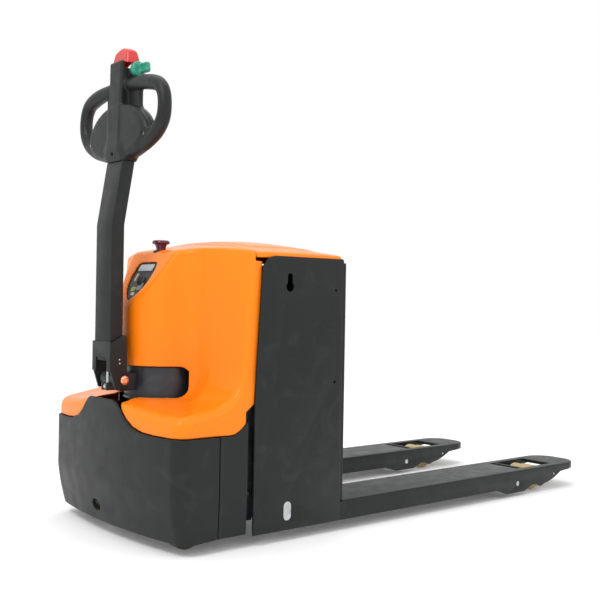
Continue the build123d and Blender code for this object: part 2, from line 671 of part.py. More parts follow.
PIVOT_R = 8
YOKE_HALF = 42
with BuildPart() as yoke:
    block((PIVOT_X, -27, 388), (STEER_X - DRUM_R + 20, 27, 436))
    axle(PIVOT_X, PIVOT_Z, -YOKE_HALF, YOKE_HALF, 22)
    block((PIVOT_X, -YOKE_HALF, 398), (PIVOT_X + 24, YOKE_HALF, 430))
    post(STEER_X, 0, 380, 440, DRUM_R, mode=Mode.SUBTRACT)
    # slot for the gas spring's eye, with the two lugs that face it
    axle(PIVOT_X, PIVOT_Z, -8, 8, 36, mode=Mode.SUBTRACT)
    for side in (-1, 1):
        inner, outer = sorted((side * 8, side * 15))
        block((PIVOT_X - 32, inner, 390), (PIVOT_X, outer, 410))
    axle(PIVOT_X, PIVOT_Z, -60, 60, PIVOT_R + CLEAR, mode=Mode.SUBTRACT)
save("tiller_yoke", yoke.part)

with BuildPart() as hub:
    with BuildSketch(Plane.XZ):
        with Locations((STEER_X, DRIVE_R)):
            Circle(88)
            Circle(20 + CLEAR, mode=Mode.SUBTRACT)
    extrude(amount=DRIVE_W / 2, both=True)
    with BuildSketch(Plane.XZ.offset(DRIVE_W / 2)):
        with Locations((STEER_X, DRIVE_R)):
            Circle(78)
            Circle(36, mode=Mode.SUBTRACT)
    extrude(amount=-14, mode=Mode.SUBTRACT)
save("drive_hub", hub.part)

with BuildPart() as nuts:
    with BuildSketch(Plane.XZ.offset(DRIVE_W / 2 - 14)):
        with Locations((STEER_X, DRIVE_R)):
            with PolarLocations(56, 5):
                RegularPolygon(9, 6)
    extrude(amount=12)
save("wheel_nuts", nuts.part)

with BuildPart() as tyre:
    with BuildSketch(Plane.XZ):
        with Locations((STEER_X, DRIVE_R)):
            Circle(DRIVE_R)
            Circle(88, mode=Mode.SUBTRACT)
    extrude(amount=DRIVE_W / 2, both=True)
    chamfer(tyre.edges().filter_by(GeomType.CIRCLE).group_by(SortBy.RADIUS)[-1], 4)
save("drive_tyre", tyre.part)

# ---- casters --------------------------------------------------------------------------------------------
for side, name in SIDES:
    y = side * CASTER_Y
    wheel_x = CASTER_X - CASTER_TRAIL
    with BuildPart() as fork:
        post(CASTER_X, y, 104, PLATE_Z - 0.5, 27)
        post(CASTER_X, y, 104, PLATE_Z + 14, 8)
        post(CASTER_X, y, PLATE_Z + 10.5, PLATE_Z + 18, 14)
        block((wheel_x - 12, y - 30, 97), (CASTER_X + 22, y + 30, 104))
        for cheek in (-1, 1):
            inner, outer = sorted((y + cheek * 24, y + cheek * 30))
            with BuildSketch(Plane.XZ.offset(-inner)):
                with BuildLine():
                    Polyline((wheel_x - 12, 104), (CASTER_X + 22, 104), (wheel_x + 13, 38), (wheel_x - 13, 38),
                             close=True)
                make_face()
                with Locations((wheel_x, CASTER_R)):
                    Circle(14)
            extrude(amount=inner - outer)
        axle(wheel_x, CASTER_R, y - 30, y + 30, 6)
    save(f"{name}_caster_fork", fork.part)
    with BuildPart() as wheel:
        sleeve(wheel_x, CASTER_R, y - 20, y + 20, CASTER_R, 6 + CLEAR)
        fillet(wheel.edges().filter_by(GeomType.CIRCLE).group_by(SortBy.RADIUS)[-1], 6)
    save(f"{name}_caster_wheel", wheel.part)

# ---- tiller ----------------------------------------------------------------------------------------------
ARM_REAR_X = ARM_FRONT_X + ARM_D
ARM_WALL = 4
neck_shift = (NECK_Z - KNEE_Z) * tan(radians(ARM_LEAN))


def arm_prism(inset, low):
    """The arm filled in: upright, then leaning back above the knee."""
    front, rear = ARM_FRONT_X + inset, ARM_REAR_X - inset
    half = ARM_W / 2 - inset
    with BuildPart() as solid:
        with BuildSketch(Plane.XZ.offset(half)):
            with BuildLine():
                Polyline((front, low), (front, KNEE_Z), (front + neck_shift, NECK_Z), (rear + neck_shift, NECK_Z),
                         (rear, KNEE_Z), (rear, low), close=True)
            make_face()
        extrude(amount=-2 * half)
    return solid.part


arm_outer = arm_prism(0, 470)
arm_inner = arm_prism(ARM_WALL, 460)
with BuildPart() as arm:
    add(arm_outer)
    add(arm_inner, mode=Mode.SUBTRACT)
save("tiller_arm", arm.part)

BRACKET_Y = ARM_W / 2 + 7
with BuildPart() as bracket:
    for side in (-1, 1):
        with BuildSketch(Plane.XZ.offset(-side * ARM_W / 2)):
            with BuildLine():
                Polyline((ARM_FRONT_X, 519), (ARM_REAR_X + 2, 541), (ARM_REAR_X + 9, 532), (ARM_REAR_X + 12, 440),
                         (PIVOT_X + 22, PIVOT_Z), (PIVOT_X + 4, PIVOT_Z - 22), (PIVOT_X - 24, PIVOT_Z - 24),
                         (ARM_FRONT_X, 442), close=True)
            make_face()
        extrude(amount=-side * 7)
    # front strap with the opening for the gas spring's foot below it
    block((ARM_FRONT_X - 3, -BRACKET_Y, 479), (ARM_FRONT_X, BRACKET_Y, 522))
    for side in (-1, 1):
        inner, outer = sorted((side * 30, side * BRACKET_Y))
        block((ARM_FRONT_X - 3, inner, 442), (ARM_FRONT_X, outer, 479))
    axle(PIVOT_X, PIVOT_Z, -60, 60, PIVOT_R, mode=Mode.SUBTRACT)
save("tiller_bracket", bracket.part)

with BuildPart() as bolt:
    axle(PIVOT_X, PIVOT_Z, -BRACKET_Y, BRACKET_Y, PIVOT_R)
    for side in (-1, 1):
        inner, outer = sorted((side * BRACKET_Y, side * (BRACKET_Y + 5)))
        axle(PIVOT_X, PIVOT_Z, inner, outer, 12)
save("tiller_pivot_pin", bolt.part)

SPRING_X = PIVOT_X - 20
with BuildPart() as strut:
    post(SPRING_X, 0, 520, 760, 11)
    post(SPRING_X, 0, 519, 745, 5.5, mode=Mode.SUBTRACT)
    axle(SPRING_X, 748, -ARM_W / 2 + ARM_WALL, ARM_W / 2 - ARM_WALL, 6)
save("gas_spring_tube", strut.part)

with BuildPart() as strut_rod:
    post(SPRING_X, 0, PIVOT_Z - 10, 700, 5)
    sleeve(SPRING_X, PIVOT_Z - 19, -6, 6, 11, 4)
save("gas_spring_rod", strut_rod.part)

# tiller head: clamshell halves with two hand loops, controls on the face away from the arm's front
HEAD_X = HEEL_X - 512
HEAD_HALF = 22
SPINE_TOP = 1277
THUMB = (HEAD_X + 15, 1252)
SCREWS = ((-144, 1066), (144, 1066), (0, 1026))
BUTTONS = (("lift_button", 26, 1112), ("lower_button", -26, 1112), ("horn_button", 0, 1070))


def head_outline():
    """The head seen square on: bulged centre, spine, and a loop each side round a hand opening."""
    with BuildSketch() as outline:
        with BuildLine():
            edge = [(46, NECK_Z), (50, NECK_Z + 6), (96, 1016), (166, 1042), (220, 1084), (235, 1140), (228, 1190),
                    (196, 1214), (150, 1222), (90, 1227), (36, 1228), (33, SPINE_TOP)]
            Polyline(*edge, *[(-y, z) for y, z in reversed(edge)], close=True)
        make_face()
        for side in (-1, 1):
            with BuildLine():
                hole = [(84, 1190), (120, 1188), (166, 1180), (194, 1162), (197, 1122), (174, 1092),
                        (150, 1112), (112, 1140), (84, 1150)]
                Polyline(*[(side * y, z) for y, z in hole], close=True)
            make_face(mode=Mode.SUBTRACT)
        fillet(outline.vertices().filter_by_position(Axis.Y, 1030, 1224), 8)
    return outline.sketch


for name, outward in (("head_shell_front", -1), ("head_shell_rear", 1)):
    with BuildPart() as shell:
        with BuildSketch(Plane.YZ.offset(HEAD_X)):
            add(head_outline())
        extrude(amount=outward * HEAD_HALF)
        chamfer(shell.faces().sort_by(Axis.X)[0 if outward < 0 else -1].outer_wire().edges(), 6)
        if outward < 0:
            # screw recesses in the operator's face
            with BuildSketch(Plane.YZ.offset(HEAD_X - HEAD_HALF - 1)):
                with Locations(*SCREWS):
                    Circle(5)
            extrude(amount=9, mode=Mode.SUBTRACT)
        axle(*THUMB, -60, 60, 5 + CLEAR, mode=Mode.SUBTRACT)
        if outward > 0:
            # wells for the push buttons
            with BuildSketch(Plane.YZ.offset(HEAD_X + HEAD_HALF + 1)):
                with Locations(*[(y, z) for label, y, z in BUTTONS]):
                    Circle(12)
            extrude(amount=-13, mode=Mode.SUBTRACT)
    save(name, shell.part)

for name, y, z in BUTTONS:
    with BuildPart() as button:
        with BuildSketch(Plane.YZ.offset(HEAD_X + HEAD_HALF - 6)):
            with Locations((y, z)):
                Circle(11.5)
        extrude(amount=10)
        fillet(button.faces().sort_by(Axis.X)[-1].edges(), 2)
    save(name, button.part)

with BuildPart() as screws:
    with BuildSketch(Plane.YZ.offset(HEAD_X - HEAD_HALF + 4)):
        with Locations(*SCREWS):
            Circle(4.6)
            RegularPolygon(2.2, 6, mode=Mode.SUBTRACT)
    extrude(amount=4)
save("head_screws", screws.part)

# thumb control: a lobe and a wing each side of the spine on one cross shaft
with BuildPart() as thumb:
    axle(*THUMB, -60, 60, 5)
    for side in (-1, 1):
        inner, outer = sorted((side * 47, side * 64))
        axle(*THUMB, inner, outer, 20)
        inner, outer = sorted((side * 38, side * 47))
        axle(*THUMB, inner, outer, 12)
        inner, outer = sorted((side * 60, side * 100))
        block((THUMB[0], inner, THUMB[1] - 14), (THUMB[0] + 15, outer, THUMB[1] + 14))
save("thumb_control", thumb.part)

# belly button: a hollow cap over the top of the spine, pressed down towards it
CAP_Y = 44
CAP_X = (HEAD_X - 12, HEAD_X + 32)
with BuildPart() as cap:
    with BuildSketch(Plane.YZ.offset(CAP_X[0])):
        with BuildLine():
            Polyline((-CAP_Y, 1274), (-CAP_Y + 8, 1304), (-18, 1314), (0, TILLER_TOP), (18, 1314),
                     (CAP_Y - 8, 1304), (CAP_Y, 1274), close=True)
        make_face()
    extrude(amount=CAP_X[1] - CAP_X[0])
    block((CAP_X[0] - 1, -36, 1265), (HEAD_X + HEAD_HALF + 4, 36, 1289), mode=Mode.SUBTRACT)
save("belly_button", cap.part)
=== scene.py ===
import json
import math
import bpy
import bmesh
import numpy as np
from mathutils import Matrix, Vector


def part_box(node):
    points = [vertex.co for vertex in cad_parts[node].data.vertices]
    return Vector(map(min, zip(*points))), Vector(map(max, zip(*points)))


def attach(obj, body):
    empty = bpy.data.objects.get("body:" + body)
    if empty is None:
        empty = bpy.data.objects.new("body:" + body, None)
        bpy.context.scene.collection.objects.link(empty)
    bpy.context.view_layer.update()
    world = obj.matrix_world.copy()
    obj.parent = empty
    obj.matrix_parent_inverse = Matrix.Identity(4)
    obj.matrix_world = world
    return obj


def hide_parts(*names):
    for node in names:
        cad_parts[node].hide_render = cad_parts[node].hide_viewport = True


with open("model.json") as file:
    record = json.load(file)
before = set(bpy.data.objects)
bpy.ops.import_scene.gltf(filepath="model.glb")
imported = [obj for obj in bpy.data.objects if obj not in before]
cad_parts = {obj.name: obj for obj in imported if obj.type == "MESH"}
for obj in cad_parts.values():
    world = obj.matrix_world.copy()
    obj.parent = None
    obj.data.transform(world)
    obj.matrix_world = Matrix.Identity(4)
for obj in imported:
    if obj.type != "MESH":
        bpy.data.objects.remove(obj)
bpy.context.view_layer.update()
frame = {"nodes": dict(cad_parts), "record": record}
NODES = frame["nodes"]
MM = 0.001

# Lengths in this script are millimetres in the row frame; meshes are made in metres.
HEEL_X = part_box("left_fork")[0].x / MM
FRONT_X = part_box("front_skirt")[0].x / MM
HEAD_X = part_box("head_shell_front")[1].x / MM
STEER_X = HEEL_X - 370
PIVOT_X = HEEL_X - 521
THUMB = (HEAD_X + 15, 1252)
STOP_X = HEEL_X - 383


def in_scene(name, data):
    """A new object that holds data, linked into the scene."""
    obj = bpy.data.objects.new(name, data)
    bpy.context.scene.collection.objects.link(obj)
    return obj


def mesh_from(bm, name):
    """A mesh made from a bmesh, which is freed."""
    mesh = bpy.data.meshes.new(name)
    bm.to_mesh(mesh)
    bm.free()
    return mesh


# ---- distance fields ------------------------------------------------------------------------------
def smin(a, b, k):
    """Smooth union: the fillet grows with k."""
    h = np.maximum(k - np.abs(a - b), 0) / k
    return np.minimum(a, b) - h * h * k * 0.25


def smax(a, b, k):
    """Smooth intersection."""
    return -smin(-a, -b, k)


def rmax(a, b, r):
    """Intersection whose edge is an exact round of radius r."""
    p, q = a + r, b + r
    return np.hypot(np.maximum(p, 0), np.maximum(q, 0)) + np.minimum(np.maximum(p, q), 0) - r


def rbox(px, py, pz, hx, hy, hz, r):
    """A rounded block about the origin."""
    qx, qy, qz = np.abs(px) - hx + r, np.abs(py) - hy + r, np.abs(pz) - hz + r
    out = np.sqrt(np.maximum(qx, 0) ** 2 + np.maximum(qy, 0) ** 2 + np.maximum(qz, 0) ** 2)
    return out + np.minimum(np.maximum(np.maximum(qx, qy), qz), 0) - r


def smooth_path(points, steps=7):
    """Points along a Catmull-Rom curve through the given ones."""
    p = np.array([points[0], *points, points[-1]], float)
    out = [p[1]]
    for a, b, c, d in zip(p, p[1:], p[2:], p[3:]):
        for i in range(1, steps + 1):
            t = i / steps
            out.append(0.5 * (2 * b + (c - a) * t + (2 * a - 5 * b + 4 * c - d) * t * t
                              + (3 * b - a - 3 * c + d) * t ** 3))
    return np.array(out)


def chain(px, py, pz, points):
    """A tube along a curve through points (x, y, z, radius)."""
    best = np.full(px.shape, 1e9)
    path = smooth_path(points)
    for (ax, ay, az, ar), (bx, by, bz, br) in zip(path, path[1:]):
        vx, vy, vz = bx - ax, by - ay, bz - az
        t = ((px - ax) * vx + (py - ay) * vy + (pz - az) * vz) / (vx * vx + vy * vy + vz * vz)
        t = np.clip(t, 0, 1)
        dx, dy, dz = px - ax - t * vx, py - ay - t * vy, pz - az - t * vz
        best = np.minimum(best, np.sqrt(dx * dx + dy * dy + dz * dz) - ar - t * (br - ar))
    return best


def cyl(pa, pb, pc, radius, half, r):
    """A round-edged cylinder: pa and pb across its axis, pc along it."""
    return rmax(np.hypot(pa, pb) - radius, np.abs(pc) - half, r)


CORNERS = [(i, j, k) for i in (0, 1) for j in (0, 1) for k in (0, 1)]
EDGES = [(a, b) for a in range(8) for b in range(a + 1, 8)
         if sum(p != q for p, q in zip(CORNERS[a], CORNERS[b])) == 1]


def surface(name, field, low, high, step, coarse=5):
    """A mesh of the field's zero surface, found on a grid and then settled on to the surface itself."""
    low, high = np.array(low, float), np.array(high, float)
    cells = np.ceil((high - low) / (step * coarse)).astype(int)
    axes = [low[i] + step * coarse * np.arange(cells[i] + 1) for i in range(3)]
    rough = field(*np.meshgrid(*axes, indexing="ij"))
    near = np.full(tuple(cells), np.inf)
    for i, j, k in CORNERS:
        part = rough[i:i + cells[0], j:j + cells[1], k:k + cells[2]]
        near = np.minimum(near, np.abs(part))
    active = near < step * coarse * 1.9
    base = np.where(rough[:-1, :-1, :-1] < 0, -9.0, 9.0)
    size = cells * coarse + 1
    values = np.full(tuple(size), 9.0)
    values[:-1, :-1, :-1] = base.repeat(coarse, 0).repeat(coarse, 1).repeat(coarse, 2)
    mask = np.zeros(tuple(size), bool)
    grown = active.repeat(coarse, 0).repeat(coarse, 1).repeat(coarse, 2)
    for i, j, k in CORNERS:
        mask[i:i + grown.shape[0], j:j + grown.shape[1], k:k + grown.shape[2]] |= grown
    where = np.argwhere(mask)
    points = low + step * where
    values[mask] = field(points[:, 0], points[:, 1], points[:, 2])

    inside = values < 0
    n = size - 1
    count = np.zeros(tuple(n), np.int8)
    for i, j, k in CORNERS:
        count += inside[i:i + n[0], j:j + n[1], k:k + n[2]]
    cell = np.argwhere((count > 0) & (count < 8))
    index = np.full(tuple(n), -1, np.int64)
    index[tuple(cell.T)] = np.arange(len(cell))
    total, hits = np.zeros((len(cell), 3)), np.zeros(len(cell))
    corner = [values[cell[:, 0] + i, cell[:, 1] + j, cell[:, 2] + k] for i, j, k in CORNERS]
    for a, b in EDGES:
        cross = (corner[a] < 0) != (corner[b] < 0)
        t = np.where(cross, corner[a] / np.where(cross, corner[a] - corner[b], 1), 0)
        start, along = np.array(CORNERS[a]), np.array(CORNERS[b]) - np.array(CORNERS[a])
        total += cross[:, None] * (start + t[:, None] * along)
        hits += cross
    verts = low + step * (cell + total / hits[:, None])
    for _ in range(3):
        e = 0.35 * step
        f0 = field(*verts.T)
        grad = np.stack([field(*(verts + e * np.eye(3)[i]).T) - field(*(verts - e * np.eye(3)[i]).T)
                         for i in range(3)], 1) / (2 * e)
        move = -(f0 / np.maximum((grad ** 2).sum(1), 0.25))[:, None] * grad
        length = np.maximum(np.linalg.norm(move, axis=1), 1e-9)
        verts = verts + move * np.minimum(1, 0.5 * step / length)[:, None]

    quads = []
    for axis in range(3):
        u, v = (axis + 1) % 3, (axis + 2) % 3
        span = [slice(1, n[i]) for i in range(3)]
        span[axis] = slice(0, n[axis])
        ahead = list(span)
        ahead[axis] = slice(1, n[axis] + 1)
        first, second = inside[tuple(span)], inside[tuple(ahead)]
        edge = np.argwhere(first != second)
        flip = first[tuple(edge.T)]
        edge = edge + np.array([s.start for s in span])
        ring = []
        for du, dv in ((0, 0), (-1, 0), (-1, -1), (0, -1)):
            c = edge.copy()
            c[:, u] += du
            c[:, v] += dv
            ring.append(index[tuple(c.T)])
        ring = np.stack(ring, 1)
        quads.append(np.where(flip[:, None], ring, ring[:, ::-1]))
    quads = np.concatenate(quads)
    quads = quads[(quads >= 0).all(1)]
    mesh = bpy.data.meshes.new(name)
    mesh.from_pydata((verts * MM).tolist(), [], quads.tolist())
    mesh.validate()
    mesh.shade_smooth()
    return in_scene(name, mesh)


# ---- materials --------------------------------------------------------------------------------------
def material(name, color, rough, grain=(400, 0.02), mottle=(6, 0.06), metallic=0.0, coat=0.0, dust=0.0,
             scratch=0.0, spec=0.5, spread=0.06):
    """A painted, moulded or metal surface: grain in its bump, mottle in its colour, dust and scratches."""
    m = bpy.data.materials.new(name)
    m.use_nodes = True
    nt = m.node_tree
    bsdf = nt.nodes["Principled BSDF"]
    bsdf.inputs["Metallic"].default_value = metallic
    bsdf.inputs["Coat Weight"].default_value = coat
    bsdf.inputs["Coat Roughness"].default_value = 0.12
    bsdf.inputs["Specular IOR Level"].default_value = spec
    link = nt.links.new
    place = nt.nodes.new("ShaderNodeTexCoord")

    def noise(scale, detail, distortion=0.0, stretch=None):
        node = nt.nodes.new("ShaderNodeTexNoise")
        node.inputs["Scale"].default_value = scale
        node.inputs["Detail"].default_value = detail
        node.inputs["Distortion"].default_value = distortion
        if stretch:
            mapping = nt.nodes.new("ShaderNodeMapping")
            mapping.inputs["Scale"].default_value = stretch
            link(place.outputs["Object"], mapping.inputs["Vector"])
            link(mapping.outputs["Vector"], node.inputs["Vector"])
        else:
            link(place.outputs["Object"], node.inputs["Vector"])
        return node.outputs["Fac"]

    def remap(value, low, high, to_low, to_high):
        node = nt.nodes.new("ShaderNodeMapRange")
        for key, number in zip(("From Min", "From Max", "To Min", "To Max"), (low, high, to_low, to_high)):
            node.inputs[key].default_value = number
        link(value, node.inputs["Value"])
        return node.outputs["Result"]

    def mix(fac, first, second):
        node = nt.nodes.new("ShaderNodeMix")
        node.data_type = "RGBA"
        link(fac, node.inputs["Factor"])
        for key, value in (("A", first), ("B", second)):
            socket = [s for s in node.inputs if s.name == key and s.type == "RGBA"][0]
            if isinstance(value, bpy.types.NodeSocket):
                link(value, socket)
            else:
                socket.default_value = (*value, 1)
        return [s for s in node.outputs if s.type == "RGBA"][0]

    dark = tuple(c * (1 - mottle[1]) for c in color)
    light = tuple(min(1, c * (1 + mottle[1])) for c in color)
    tint = mix(remap(noise(mottle[0], 4, 0.4), 0.3, 0.7, 0, 1), dark, light)
    rough_value = remap(noise(mottle[0] * 5, 5), 0.3, 0.7, rough - spread, rough + spread)
    if dust:
        tint = mix(remap(noise(14, 8, 1.2), 0.52, 0.8, 0, dust), tint, (0.34, 0.33, 0.31))
    if scratch:
        lines = noise(60, 3, 0.3, stretch=(0.25, 1.0, 9.0))
        tint = mix(remap(lines, 0.66, 0.72, 0, scratch), tint, tuple(min(1, c * 1.8 + 0.05) for c in color))
    link(tint, bsdf.inputs["Base Color"])
    link(rough_value, bsdf.inputs["Roughness"])
    bump = nt.nodes.new("ShaderNodeBump")
    bump.inputs["Strength"].default_value = grain[1]
    bump.inputs["Distance"].default_value = 0.002
    link(noise(grain[0], 3), bump.inputs["Height"])
    link(bump.outputs["Normal"], bsdf.inputs["Normal"])
    return m


FINISHES = (
    ("charcoal_steel", (0.0115, 0.0135, 0.0135), 0.42, (900, 0.10), (5, 0.10),
     dict(dust=0.03, scratch=0.10, spec=0.24)),
    ("charcoal_cover", (0.0125, 0.0140, 0.0142), 0.44, (1300, 0.12), (4, 0.08),
     dict(dust=0.03, scratch=0.05, spec=0.24)),
    ("orange_cover", (0.93, 0.215, 0.006), 0.27, (220, 0.02), (3, 0.03),
     dict(coat=0.10, spread=0.04, spec=0.16)),
    ("grip_charcoal", (0.0125, 0.0140, 0.0142), 0.42, (1500, 0.16), (8, 0.10), dict(dust=0.03, spec=0.26)),
    ("cap_red", (0.52, 0.030, 0.026), 0.34, (900, 0.05), (10, 0.06), dict(coat=0.1)),
    ("thumb_green", (0.020, 0.26, 0.17), 0.36, (900, 0.05), (10, 0.06), dict(coat=0.1)),
    ("stop_maroon", (0.10, 0.006, 0.030), 0.30, (700, 0.05), (12, 0.1), dict(coat=0.15)),
    ("button_grey", (0.22, 0.23, 0.24), 0.45, (1200, 0.08), (10, 0.06), dict()),
    ("fascia_grey", (0.014, 0.016, 0.016), 0.5, (1500, 0.15), (10, 0.08), dict(dust=0.08)),
    ("gauge_lens", (0.36, 0.40, 0.42), 0.12, (300, 0.02), (10, 0.05), dict(coat=0.4)),
    ("zinc_steel", (0.50, 0.51, 0.52), 0.36, (500, 0.08), (18, 0.14),
     dict(metallic=1.0, dust=0.1, scratch=0.2)),
    ("pivot_brass", (0.83, 0.43, 0.25), 0.30, (600, 0.06), (20, 0.12), dict(metallic=1.0, scratch=0.2)),
    ("cast_grey", (0.018, 0.020, 0.021), 0.55, (260, 0.35), (9, 0.15), dict(dust=0.2)),
    ("motor_black", (0.020, 0.023, 0.029), 0.34, (700, 0.1), (9, 0.12), dict(dust=0.1)),
    ("aluminium_fin", (0.62, 0.63, 0.64), 0.38, (500, 0.08), (14, 0.1), dict(metallic=1.0, dust=0.1)),
    ("tan_polyurethane", (0.42, 0.31, 0.13), 0.42, (500, 0.08), (12, 0.12), dict(dust=0.18, scratch=0.15)),
    ("dark_polyurethane", (0.075, 0.062, 0.040), 0.48, (500, 0.12), (12, 0.18), dict(dust=0.2, scratch=0.15)),
    ("drive_rubber", (0.035, 0.035, 0.036), 0.62, (500, 0.25), (12, 0.2), dict(dust=0.25)),
    ("battery_case", (0.07, 0.07, 0.08), 0.55, (900, 0.12), (8, 0.1), dict(dust=0.15)),
)
MATERIALS = {name: material(name, color, rough, grain, mottle, **more)
             for name, color, rough, grain, mottle, more in FINISHES}
for part in frame["record"]["subparts"]:
    mesh = NODES[part["node"]].data
    mesh.materials.clear()
    mesh.materials.append(MATERIALS[part["material_slot"]])


def finish_piece(obj, slot, body, *nodes, paint=None):
    """Give a new piece the material of its slot (or the paint given), attach it to its body and hide the CAD
    nodes it stands for.
    """
    obj.data.materials.clear()
    obj.data.materials.append(paint or MATERIALS[slot])
    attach(obj, body)
    if nodes:
        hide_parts(*nodes)
    return obj


# ---- covers -----------------------------------------------------------------------------------------
RISE_Y = (0, 62, 78, 95, 119, 150, 190, 235, 400)
RISE_Z = (370, 370, 364, 349, 326, 307, 297, 294, 292)
BOW = 26                        # how far the fronts of skirt and shelf bow back at BOW_Y from the middle
BOW_Y = 300
SKIRT_FRONT, SKIRT_SIDE = -562, 340
SHELF_FRONT, SHELF_SIDE, SHELF_TOP = -558.5, 335.5, 377
CORNER = 34                     # plan corner of skirt and shelf
SWEEP_U, SWEEP = -372, 0.0115   # where the edge starts to rise towards the back, and how fast
JOINT_U = -406                  # where the front skirt meets its flanks
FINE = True
COWL_STEP, SKIRT_STEP, HEAD_STEP = (2.4, 2.8, 2.0) if FINE else (3.2, 3.6, 2.6)


def above_edge(u, ay, z):
    """Distance above the line where the skirt ends and the cowl starts: a peak in front, a sweep up behind."""
    behind = np.clip(u - SWEEP_U, 0, 60)
    height = z - np.interp(ay, RISE_Y, RISE_Z) - behind ** 2 * SWEEP
    return height / np.sqrt(1 + (2 * behind * SWEEP) ** 2)


def cover_plan(u, ay, front, side):
    """Plan of the skirt or shelf: bowed front, rounded corner, straight side."""
    slope = 2 * BOW * ay / BOW_Y ** 2
    ahead = (front + BOW * (ay / BOW_Y) ** 2 - u) / np.sqrt(1 + slope ** 2)
    return rmax(ahead, ay - side, CORNER)


FASCIA_U, FASCIA_Z = -452.5, 688.5
RISE = (75 / 144.06, 123 / 144.06)


def leaf_shape(ay, t):
    """The fascia opening in its own plane: two arcs that meet in a point below, rounded above."""
    a, b, c = (0, -66), (50, -4), (46, 60)
    d = 2 * (a[0] * (b[1] - c[1]) + b[0] * (c[1] - a[1]) + c[0] * (a[1] - b[1]))
    sq = [p[0] ** 2 + p[1] ** 2 for p in (a, b, c)]
    ox = (sq[0] * (b[1] - c[1]) + sq[1] * (c[1] - a[1]) + sq[2] * (a[1] - b[1])) / d
    oy = (sq[0] * (c[0] - b[0]) + sq[1] * (a[0] - c[0]) + sq[2] * (b[0] - a[0])) / d
    radius = math.hypot(a[0] - ox, a[1] - oy)
    return rmax(np.hypot(ay - ox, t - oy) - radius, t - 60, 12)


def fascia_axes(u, z):
    """Height out of the fascia plane and distance up along it."""
    out = -(u - FASCIA_U) * RISE[1] + (z - FASCIA_Z) * RISE[0]
    up = (u - FASCIA_U) * RISE[0] + (z - FASCIA_Z) * RISE[1]
    return out, up


def tower_plan(u, ay, z):
    """Nose and wings in plan; the wings' outer corners lean back with height."""
    ridge = -334 + np.clip(z - 380, 0, 400) * 0.079
    run = np.hypot(ridge + 370, 213)
    wing = (-(u + 370) * 213 + (ay - 120) * (ridge + 370)) / run
    core = rmax(wing, ay - 333, 13)
    nose = np.hypot(u + 370, ay) - 120
    nose = np.where(u > -370, ay - 120, nose)
    return smin(nose, core, 52)


def cowl_field(x, y, z):
    """Tower and shelf as one thin shell, with its window, notch, fascia opening and stop hole."""
    u, ay = x - HEEL_X, np.abs(y)
    plan = tower_plan(u, ay, z)
    along = np.clip((u + 490) / 192, 0, 1.1)
    roof = 753 + 39 * along * (1 - 0.62 * (ay / 333) ** 2)
    tower = rmax(plan, (z - roof) * 0.98, 12)
    out, up = fascia_axes(u, z)
    tower = rmax(tower, out, 9)
    shelf_top = SHELF_TOP - 0.19 * np.maximum(plan, 0)
    brow = 15 + 12 * np.clip((ay - 60) / 110, 0, 1)
    outside = cover_plan(u, ay, SHELF_FRONT, SHELF_SIDE)
    shelf = rmax(outside, (z - shelf_top) * 0.96, brow)
    reach = 18 + 66 * np.clip((ay - 118) / 90, 0, 1) ** 1.5
    solid = smax(smin(tower, shelf, reach), outside, 8)
    wall = np.maximum(solid, -(solid + 5))
    wall = smax(wall, 1.4 - above_edge(u, ay, z), 2)
    t = np.clip((z - 350) / 36, 0, 1)
    rear = np.where((ay > 322) & (z < 742), -278, -298) * t + -324 * (1 - t)
    wall = smax(wall, (u - rear) * 0.8, 2)
    window = rmax(u + 369, np.abs(z - 414) - 41, 24)
    window = np.maximum(window, ay - 138)
    notch = rmax(rmax(ay - 48, u + 460, 8), 290 - z, 4)
    notch = np.maximum(notch, z - 400)
    leaf = np.maximum(leaf_shape(ay, up), np.abs(out) - 26)
    hole = np.maximum(np.hypot(u - (STOP_X - HEEL_X), ay) - 14, 730 - z)
    for cut in (window, notch, leaf, hole):
        wall = smax(wall, -cut, 3.5)
    return wall


cowl = surface("cowl", cowl_field, (HEEL_X - 566, -341, 284), (HEEL_X - 268, 341, 803), COWL_STEP)
finish_piece(cowl, "orange_cover", "chassis", "front_cowl")


def lid_field(x, y, z):
    """A crowned lid with a shallow step in its top and a pocket over each hinge."""
    u, ay = x - HEEL_X, np.abs(y)
    along = (u + 295) / 303
    lift = 29 * (1 - along) + 24 * along + 62 * along * (1 - along)
    roof = 764 + lift * np.maximum(1 - (ay / 334) ** 2, 0) ** 0.9
    plan = rmax(rmax(-294 - u, u - 7.5, 10), ay - 334, 14)
    solid = rmax(plan, (z - roof) * 0.97, 11)
    step = rmax(rmax(-262 - u, u + 22, 40), ay - 262, 46)
    solid = solid - 2.2 * np.clip(-step / 10, 0, 1) * (z > 770)
    wall = np.maximum(solid, -(solid + 4.5))
    wall = smax(wall, 750.5 - z, 2)
    for middle in (-200, 200):
        slot = rbox(u, y - middle, z - 755, 13, 33, 9, 2)
        wall = np.maximum(wall, -slot)
    return wall


lid = surface("lid", lid_field, (HEEL_X - 300, -340, 744), (HEEL_X + 14, 340, 816), COWL_STEP)
finish_piece(lid, "orange_cover", "lid", "battery_lid")


def skirt_solid(u, ay, z):
    """The skirt's outside, drawn in towards its foot."""
    low = np.clip((150 - z) / 120, 0, 1.2)
    low = low * low * 0.5 + low * 0.5
    return cover_plan(u, ay, SKIRT_FRONT + 24 * low, SKIRT_SIDE - 5 * low)


